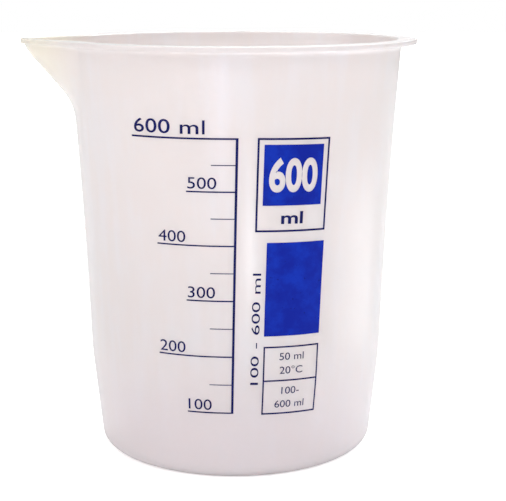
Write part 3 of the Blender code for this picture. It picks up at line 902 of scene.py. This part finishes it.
    def lay_square(self, line: PrintLine) -> None:
        """Lays the square with a number left open in it, and the loops of the number's digits.

        Args:
            line: the number, with the square's node first and then the loops' from left to right.
        """
        axes = self.axes(line.tilt)
        flat, faces = self.flat_skin(line.nodes[0])
        straight = flat @ np.linalg.inv(axes)
        places, number = np.unique(np.round(straight / self.weld).astype(int), axis=0, return_inverse=True)
        number = number.reshape(-1)
        welded = [tuple(int(number[corner]) for corner in face) for face in faces]
        rim = places[sorted({corner for edge in self.rim_edges(welded) for corner in edge})] * self.weld
        low, high = straight.min(axis=0), straight.max(axis=0)
        opening = rim[((rim > low + self.margin) & (rim < high - self.margin)).all(axis=1)]
        shapes = self.letters(line)
        whole = np.vstack([drawn for drawn, _ in shapes])
        sheet = bmesh.new()
        square = [(low[0], low[1]), (high[0], low[1]), (high[0], high[1]), (low[0], high[1])]
        outline = [sheet.verts.new((*corner, 0)) for corner in square]
        for at in range(len(outline)):
            sheet.edges.new((outline[at - 1], outline[at]))
        for drawn, members in shapes:
            share = (drawn - whole.min(axis=0)) / (whole.max(axis=0) - whole.min(axis=0))
            placed = opening.min(axis=0) + share * (opening.max(axis=0) - opening.min(axis=0))
            points = [sheet.verts.new((*point, 0)) for point in placed]
            for start, end in self.rim_edges(members):
                sheet.edges.new((points[start], points[end]))
        bmesh.ops.triangle_fill(sheet, use_beauty=True, edges=sheet.edges, normal=(0, 0, 1))
        for node, (drawn, members) in zip(line.nodes, self.separate(sheet), strict=True):
            self.lay(node, drawn @ axes, members, self.solid_ink)
        sheet.free()

    def lay_shapes(self, nodes: tuple[str, ...], ink: bpy.types.Material) -> None:
        """Lays straight-edged films just as the frame has them."""
        for node in nodes:
            self.lay(node, *self.flat_skin(node), ink)

    def build(self) -> None:
        """Lays the scale, the numerals and the panel."""
        names = sorted(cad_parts)
        self.lay_shapes(("graduation_ladder", "panel_frame", "data_box"), self.line_ink)
        self.lay_shapes(("marking_patch",), self.solid_ink)
        loops = tuple(name for name in names if name.startswith("number_loop_"))
        self.lay_square(PrintLine("600", ("panel_square", *loops), Boldness.HEAVY, self.panel_tilt))
        for line in self.lines(names):
            self.lay_line(line)

    def lines(self, names: list[str]) -> list[PrintLine]:
        """Lists the lines of print with the nodes of their characters.

        Args:
            names: every node's name.

        Returns:
            The lines.
        """
        found = []
        for number in range(1, self.top_numeral + 1):
            digits = tuple(name for name in names if name.startswith(f"mark_{number}_digit_"))
            boldness = Boldness.SLIGHT if number == self.top_numeral else Boldness.PLAIN
            found.append(PrintLine(f"{number}00", digits, boldness))
        found.append(PrintLine("ml", ("unit_letter_1", "unit_letter_2"), Boldness.SLIGHT))
        found.append(PrintLine("ml", ("panel_letter_1", "panel_letter_2"), Boldness.FIRM, self.panel_tilt))
        for row, text in enumerate(("50 ml", "20°C", "100-", "600 ml"), start=1):
            characters = tuple(name for name in names if name.startswith(f"data_line_{row}_"))
            found.append(PrintLine(text, characters, tilt=self.panel_tilt))
        side = tuple(name for name in names if name.startswith("side_line_character_"))
        found.append(PrintLine("100 - 600 ml", side, tilt=self.panel_tilt, reads_up=True))
        return found


# ---------------------------------------------------------------------------------------------
# Studio
# ---------------------------------------------------------------------------------------------


def seen_white(tree: Tree) -> bpy.types.NodeSocket:
    """Gives 1 for rays from the camera and through clear parts, which see the surround as white."""
    path = tree.add("ShaderNodeLightPath")
    seen = path.outputs["Is Camera Ray"], path.outputs["Is Transmission Ray"]
    return tree.math("ADD", *seen, clamp=True)


@dataclass(frozen=True)
class Lamp:
    """A soft rectangular lamp: where it stands, its width and height, its watts and its colour."""

    name: str
    place: tuple[float, float, float]
    size: tuple[float, float]
    power: float
    colour: Colour = (1.0, 1.0, 1.0)


LAMPS = (
    Lamp("key_lamp", (0.55, -0.75, 0.75), (0.45, 0.45), 2.6),
    Lamp("left_lamp", (-0.8, -0.35, 0.5), (0.5, 0.5), 2.4),
    Lamp("back_lamp", (0.15, 0.75, 0.85), (0.6, 0.6), 7.5, (0.95, 0.98, 1.0)),
    Lamp("side_lamp", (0.145, 0.0, 0.03), (0.1, 0.06), 0.03, (0.90, 0.95, 1.0)),
    Lamp("strip_lamp", (0.034, -0.21, 0.017), (0.012, 0.033), 0.03, (0.85, 0.93, 1.0)),
    Lamp("cool_lamp", (-0.07, -0.40, 0.035), (0.07, 0.05), 0.07, (0.80, 0.76, 1.0)),
)


@dataclass
class Studio:
    """Plain pale floor, soft lights and the camera."""

    look_height: float
    distance: float = 412.14 * MM
    eye_height: float = 143.67 * MM
    dip: float = math.radians(11.559)
    swing: float = math.radians(0.753)
    lens: float = 95.96
    floor_size: float = 6.0
    floor_glow: float = 0.46
    far_glow: float = 0.9
    fade: tuple[float, float] = (0.09, 0.4)
    surround: float = 0.72

    def build(self) -> None:
        """Builds the floor, the world, the lamps and the camera."""
        self.build_floor()
        self.build_world()
        for lamp in LAMPS:
            self.add_lamp(lamp)
        self.build_camera()

    def build_floor(self) -> None:
        """Builds the pale floor, which the camera sees as white apart from the soft shadow."""
        half = self.floor_size / 2
        mesh = bpy.data.meshes.new("floor")
        corners = [(-half, -half, 0), (half, -half, 0), (half, half, 0), (-half, half, 0)]
        mesh.from_pydata(corners, [], [(0, 1, 2, 3)])
        material = bpy.data.materials.new("pale_floor")
        material.use_nodes = True
        tree = Tree(material.node_tree)
        shader = material.node_tree.nodes["Principled BSDF"]
        shader.inputs["Base Color"].default_value = (0.9, 0.9, 0.9, 1)
        shader.inputs["Roughness"].default_value = 0.9
        shader.inputs["Specular IOR Level"].default_value = 0.0
        shader.inputs["Emission Color"].default_value = (1, 1, 1, 1)
        place = tree.add("ShaderNodeTexCoord")
        away = tree.add("ShaderNodeVectorMath", operation="LENGTH")
        tree.link(place.outputs["Object"], away.inputs[0])
        far = tree.smooth_step(away.outputs["Value"], *self.fade)
        glow = tree.math("MULTIPLY_ADD", far, self.far_glow - self.floor_glow, self.floor_glow)
        tree.link(tree.math("MULTIPLY", seen_white(tree), glow), shader.inputs["Emission Strength"])
        mesh.materials.append(material)
        floor = bpy.data.objects.new("floor", mesh)
        bpy.context.scene.collection.objects.link(floor)

    def build_world(self) -> None:
        """Builds an even, soft white surround that the camera, gloss and clear parts see as white."""
        world = bpy.data.worlds.new("studio_surround")
        world.use_nodes = True
        bpy.context.scene.world = world
        tree = Tree(world.node_tree)
        background = world.node_tree.nodes["Background"]
        background.inputs["Color"].default_value = (1.0, 1.0, 1.0, 1.0)
        strength = tree.math("MULTIPLY_ADD", seen_white(tree), 1.0 - self.surround, self.surround)
        tree.link(strength, background.inputs["Strength"])

    def add_lamp(self, lamp: Lamp) -> None:
        """Adds a soft lamp aimed at the middle of the beaker, out of the camera's sight.

        Args:
            lamp: the lamp to add.
        """
        light = bpy.data.lights.new(lamp.name, "AREA")
        light.shape = "RECTANGLE"
        light.size, light.size_y = lamp.size
        light.energy = lamp.power
        light.color = lamp.colour
        holder = bpy.data.objects.new(lamp.name, light)
        holder.location = lamp.place
        holder.visible_camera = False
        aim = np.array([0, 0, self.look_height]) - np.array(lamp.place)
        flat = math.hypot(aim[0], aim[1])
        holder.rotation_euler = (math.pi / 2 + math.atan2(aim[2], flat), 0, math.atan2(-aim[0], aim[1]))
        bpy.context.scene.collection.objects.link(holder)

    def build_camera(self) -> None:
        """Builds the camera, level with the upper part of the beaker and looking slightly down."""
        camera = bpy.data.cameras.new("camera")
        camera.lens = self.lens
        camera.sensor_width = 36.0
        holder = bpy.data.objects.new("camera", camera)
        holder.location = (0, -self.distance, self.eye_height)
        holder.rotation_euler = (math.pi / 2 - self.dip, 0, -self.swing)
        bpy.context.scene.collection.objects.link(holder)
        bpy.context.scene.camera = holder
        bpy.context.scene.view_settings.view_transform = "Standard"


def main() -> None:
    """Builds the vessel, its print and the studio, in that order."""
    groups = {"moulding_flow": moulding_flow_group(), "hairlines": hairline_group()}
    low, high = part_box("beaker_body")
    vessel = Vessel(rim_height=high.z, flange_reach=high.x)
    vessel.build(MilkyPlastic().build(high.z, -low.x, groups))
    line_ink = PrintInk("line_ink", (0.004, 0.005, 0.072), (0.008, 0.012, 0.11)).build(groups)
    solid_ink = PrintInk("solid_ink", (0.0012, 0.012, 0.27), (0.0018, 0.026, 0.38)).build(groups)
    Print(vessel, line_ink, solid_ink).build()
    Studio(look_height=high.z / 2).build()


if __name__ == "__main__":
    main()
